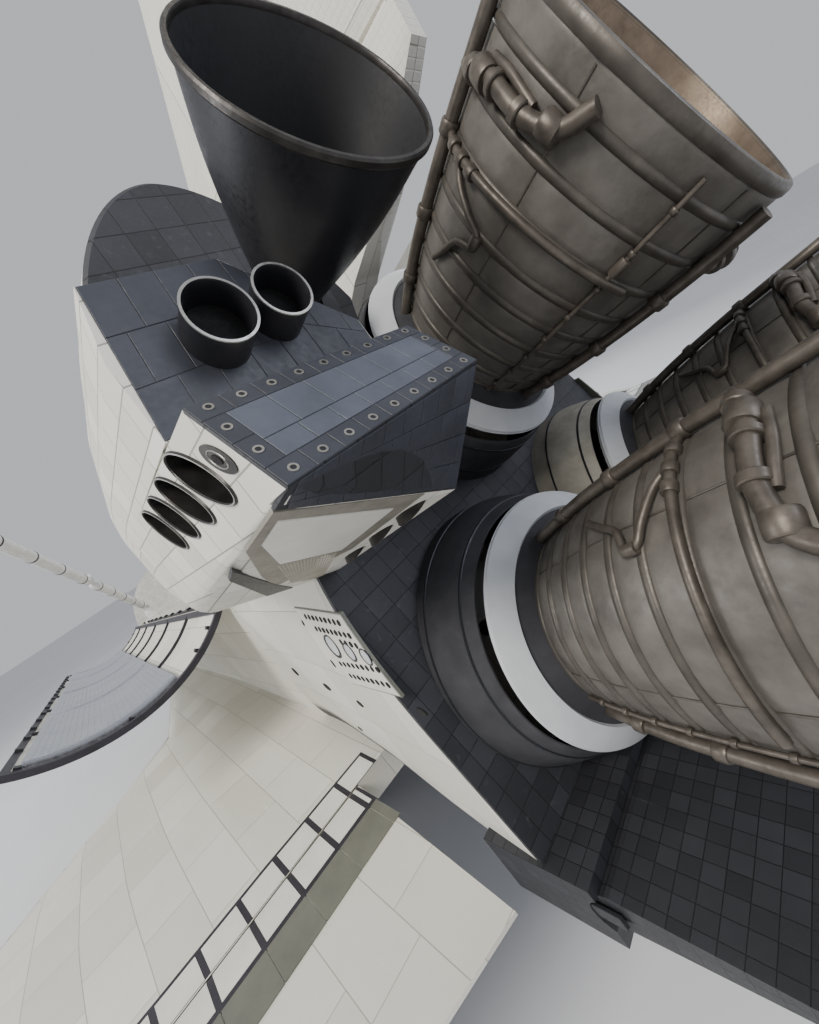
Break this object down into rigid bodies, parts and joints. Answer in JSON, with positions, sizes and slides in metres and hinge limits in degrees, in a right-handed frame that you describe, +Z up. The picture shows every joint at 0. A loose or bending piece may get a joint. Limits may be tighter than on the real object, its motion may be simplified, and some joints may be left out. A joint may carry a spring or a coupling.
{
  "type": "winged space orbiter",
  "caption": "Winged space orbiter parked on its wheels with both payload bay doors open, three bell engines, two pods, split rudder, elevons, body flap and a manipulator arm.",
  "frame": {"origin": "on the ground under the middle of the whole machine", "axes": "+X towards the tail, +Y to starboard, +Z up; the machine parks 3.6 degrees nose down"},
  "size_m": [36.4324, 23.7744, 17.1999],
  "materials": {
    "tile_black": "matte",
    "tile_white": "matte",
    "felt_blanket": "matte",
    "reinforced_carbon": "satin",
    "nozzle_metal": "satin",
    "steel": "satin",
    "radiator_silver": "gloss",
    "tyre": "matte",
    "dark_glass": "gloss",
    "white_paint": "satin"
  },
  "bodies": {
    "airframe": {"nose_cap": "reinforced_carbon", "windscreen": "dark_glass", "forward_fuselage": "tile_white", "mid_fuselage": "tile_black", "aft_fuselage": "tile_white", "base_heat_shield": "tile_black", "fin": "felt_blanket", "nose_strut": "white_paint", "arm_pedestal": "white_paint", "pod_port": "felt_blanket", "thruster_housing_port": "tile_black", "wing_port": "tile_white", "leading_edge_port": "reinforced_carbon", "nose_gear_door_port": "tile_black", "main_strut_port": "white_paint", "main_gear_door_port": "tile_black", "umbilical_panel_port": "steel", "pod_starboard": "felt_blanket", "thruster_housing_starboard": "tile_black", "wing_starboard": "tile_white", "leading_edge_starboard": "reinforced_carbon", "nose_gear_door_starboard": "tile_black", "main_strut_starboard": "white_paint", "main_gear_door_starboard": "tile_black", "umbilical_panel_starboard": "steel"},
    "bay_door_port": {"bay_door_port": "felt_blanket", "radiator_port": "radiator_silver"},
    "bay_door_starboard": {"bay_door_starboard": "felt_blanket", "radiator_starboard": "radiator_silver"},
    "arm_shoulder": {"arm_shoulder": "white_paint"},
    "arm_upper_boom": {"arm_upper_boom": "white_paint"},
    "arm_lower_boom": {"arm_lower_boom": "white_paint"},
    "arm_end_effector": {"arm_end_effector": "white_paint"},
    "crew_hatch": {"crew_hatch": "tile_white"},
    "elevon_inboard_port": {"elevon_inboard_port": "tile_white"},
    "elevon_outboard_port": {"elevon_outboard_port": "tile_white"},
    "elevon_inboard_starboard": {"elevon_inboard_starboard": "tile_white"},
    "elevon_outboard_starboard": {"elevon_outboard_starboard": "tile_white"},
    "body_flap": {"body_flap": "tile_black"},
    "rudder_shaft": {"rudder_shaft": "steel"},
    "rudder_half_port": {"rudder_half_port": "felt_blanket"},
    "rudder_half_starboard": {"rudder_half_starboard": "felt_blanket"},
    "main_engine_top": {"main_engine_top": "nozzle_metal"},
    "main_engine_port": {"main_engine_port": "nozzle_metal"},
    "main_engine_starboard": {"main_engine_starboard": "nozzle_metal"},
    "pod_nozzle_port": {"pod_nozzle_port": "nozzle_metal"},
    "pod_nozzle_starboard": {"pod_nozzle_starboard": "nozzle_metal"},
    "nose_steering_leg": {"nose_steering_leg": "steel"},
    "nose_wheels": {"nose_wheels": "tyre"},
    "main_wheels_port": {"main_wheels_port": "tyre"},
    "main_wheels_starboard": {"main_wheels_starboard": "tyre"}
  },
  "joints": [
    {"name": "bay_door_port_hinge", "type": "hinge", "parent": "airframe", "child": "bay_door_port", "pos_m": [-0.46083, -2.6797, 5.81803], "axis": [-0.998, 0, -0.0628], "range_deg": [0, 139.5]},
    {"name": "bay_door_starboard_hinge", "type": "hinge", "parent": "airframe", "child": "bay_door_starboard", "pos_m": [-0.46083, 2.6797, 5.81803], "axis": [0.998, 0, 0.0628], "range_deg": [0, 139.5]},
    {"name": "arm_shoulder_yaw", "type": "hinge", "parent": "airframe", "child": "arm_shoulder", "pos_m": [-7.19714, -2.0955, 6.09537], "axis": [-0.0628, 0, 0.998], "range_deg": [0, 16.4]},
    {"name": "arm_shoulder_pitch", "type": "hinge", "parent": "arm_shoulder", "child": "arm_upper_boom", "pos_m": [-7.19714, -2.0955, 6.09537], "axis": [0.2143, 0.9767, 0.0135], "range_deg": [0, 15.9]},
    {"name": "arm_elbow", "type": "hinge", "parent": "arm_upper_boom", "child": "arm_lower_boom", "pos_m": [-1.38007, -3.40318, 8.35826], "axis": [0.2143, 0.9767, 0.0135], "range_deg": [-160, 0]},
    {"name": "arm_wrist_roll", "type": "hinge", "parent": "arm_lower_boom", "child": "arm_end_effector", "pos_m": [5.1679, -4.87042, 10.56167], "axis": [0.9203, -0.2065, 0.3324], "range_deg": [-447, 447]},
    {"name": "crew_hatch_hinge", "type": "hinge", "parent": "airframe", "child": "crew_hatch", "pos_m": [-11.41839, -2.58064, 2.80376], "axis": [0.998, 0, 0.0628], "range_deg": [0, 90]},
    {"name": "elevon_inboard_port_hinge", "type": "hinge", "parent": "airframe", "child": "elevon_inboard_port", "pos_m": [10.98976, -5.588, 3.42282], "axis": [0.0039, 0.9981, -0.0613], "range_deg": [-35, 20]},
    {"name": "elevon_outboard_port_hinge", "type": "hinge", "parent": "airframe", "child": "elevon_outboard_port", "pos_m": [10.97309, -9.906, 3.68785], "axis": [0.0039, 0.9981, -0.0613], "range_deg": [-35, 20]},
    {"name": "elevon_inboard_starboard_hinge", "type": "hinge", "parent": "airframe", "child": "elevon_inboard_starboard", "pos_m": [10.98976, 5.588, 3.42282], "axis": [-0.0039, 0.9981, 0.0613], "range_deg": [-35, 20]},
    {"name": "elevon_outboard_starboard_hinge", "type": "hinge", "parent": "airframe", "child": "elevon_outboard_starboard", "pos_m": [10.97309, 9.906, 3.68785], "axis": [-0.0039, 0.9981, 0.0613], "range_deg": [-35, 20]},
    {"name": "body_flap_hinge", "type": "hinge", "parent": "airframe", "child": "body_flap", "pos_m": [14.67431, 0, 3.51389], "axis": [0, 1, 0], "range_deg": [-11.7, 22.55]},
    {"name": "rudder_hinge", "type": "hinge", "parent": "airframe", "child": "rudder_shaft", "pos_m": [15.08202, 0, 13.79598], "axis": [0.5225, 0, 0.8526], "range_deg": [-27, 27]},
    {"name": "speed_brake_port_hinge", "type": "hinge", "parent": "rudder_shaft", "child": "rudder_half_port", "pos_m": [15.08202, 0, 13.79598], "axis": [-0.5225, 0, -0.8526], "range_deg": [0, 49.3]},
    {"name": "speed_brake_starboard_hinge", "type": "hinge", "parent": "rudder_shaft", "child": "rudder_half_starboard", "pos_m": [15.08202, 0, 13.79598], "axis": [0.5225, 0, 0.8526], "range_deg": [0, 49.3]},
    {"name": "main_engine_top_gimbal", "type": "hinge", "parent": "airframe", "child": "main_engine_top", "pos_m": [12.22007, 0, 7.32972], "axis": [0, 1, 0], "range_deg": [-10.5, 10.5]},
    {"name": "main_engine_port_gimbal", "type": "hinge", "parent": "airframe", "child": "main_engine_port", "pos_m": [12.96749, -1.3462, 4.82256], "axis": [0, 1, 0], "range_deg": [-10.5, 10.5]},
    {"name": "main_engine_starboard_gimbal", "type": "hinge", "parent": "airframe", "child": "main_engine_starboard", "pos_m": [12.96749, 1.3462, 4.82256], "axis": [0, 1, 0], "range_deg": [-10.5, 10.5]},
    {"name": "pod_nozzle_port_gimbal", "type": "hinge", "parent": "airframe", "child": "pod_nozzle_port", "pos_m": [13.99246, -2.2352, 8.68829], "axis": [0, 1, 0], "range_deg": [-6, 6]},
    {"name": "pod_nozzle_starboard_gimbal", "type": "hinge", "parent": "airframe", "child": "pod_nozzle_starboard", "pos_m": [13.99246, 2.2352, 8.68829], "axis": [0, 1, 0], "range_deg": [-6, 6]},
    {"name": "nose_wheel_steering", "type": "hinge", "parent": "airframe", "child": "nose_steering_leg", "pos_m": [-14.53311, 0, 0.73466], "axis": [-0.0628, 0, 0.998], "range_deg": [-10, 10]},
    {"name": "nose_wheel_spin", "type": "hinge", "parent": "nose_steering_leg", "child": "nose_wheels", "pos_m": [-14.51246, 0, 0.4064], "axis": [0, 1, 0], "continuous": true},
    {"name": "main_wheel_port_spin", "type": "hinge", "parent": "airframe", "child": "main_wheels_port", "pos_m": [5.69775, -3.4544, 0.56515], "axis": [0, 1, 0], "continuous": true},
    {"name": "main_wheel_starboard_spin", "type": "hinge", "parent": "airframe", "child": "main_wheels_starboard", "pos_m": [5.69775, 3.4544, 0.56515], "axis": [0, 1, 0], "continuous": true}
  ],
  "couplings": [
    {"joint": "arm_shoulder_yaw", "follows": "bay_door_port_hinge", "ratio": 0.11756},
    {"joint": "arm_shoulder_pitch", "follows": "bay_door_port_hinge", "ratio": 0.11398},
    {"joint": "speed_brake_starboard_hinge", "follows": "speed_brake_port_hinge", "ratio": 1}
  ]
}
